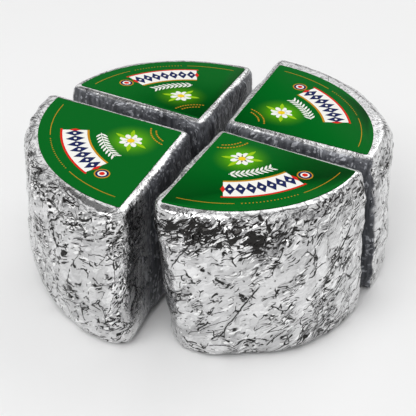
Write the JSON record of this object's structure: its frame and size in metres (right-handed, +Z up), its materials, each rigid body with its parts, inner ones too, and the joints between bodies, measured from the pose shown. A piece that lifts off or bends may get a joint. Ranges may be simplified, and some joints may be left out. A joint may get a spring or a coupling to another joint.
{
  "type": "foil-wrapped blue cheese wheel",
  "caption": "Drum of blue cheese cut into wedges, each wrapped in crumpled foil with a sector-shaped paper label on top, standing point to point as a wheel",
  "frame": {"origin": "centre of the wheel on the surface that it stands on", "axes": "+Z is up along the wheel's axis; -Y points out through the middle of the front quarter"},
  "size_m": [0.2174, 0.2038, 0.0932],
  "materials": {
    "foil": "crumpled bright foil",
    "label": "satin printed paper"
  },
  "bodies": {
    "root": {"quarter_left": "foil", "quarter_front": "foil", "quarter_right": "foil", "quarter_back": "foil", "label_left": "label", "label_front": "label", "label_right": "label", "label_back": "label"}
  },
  "joints": []
}
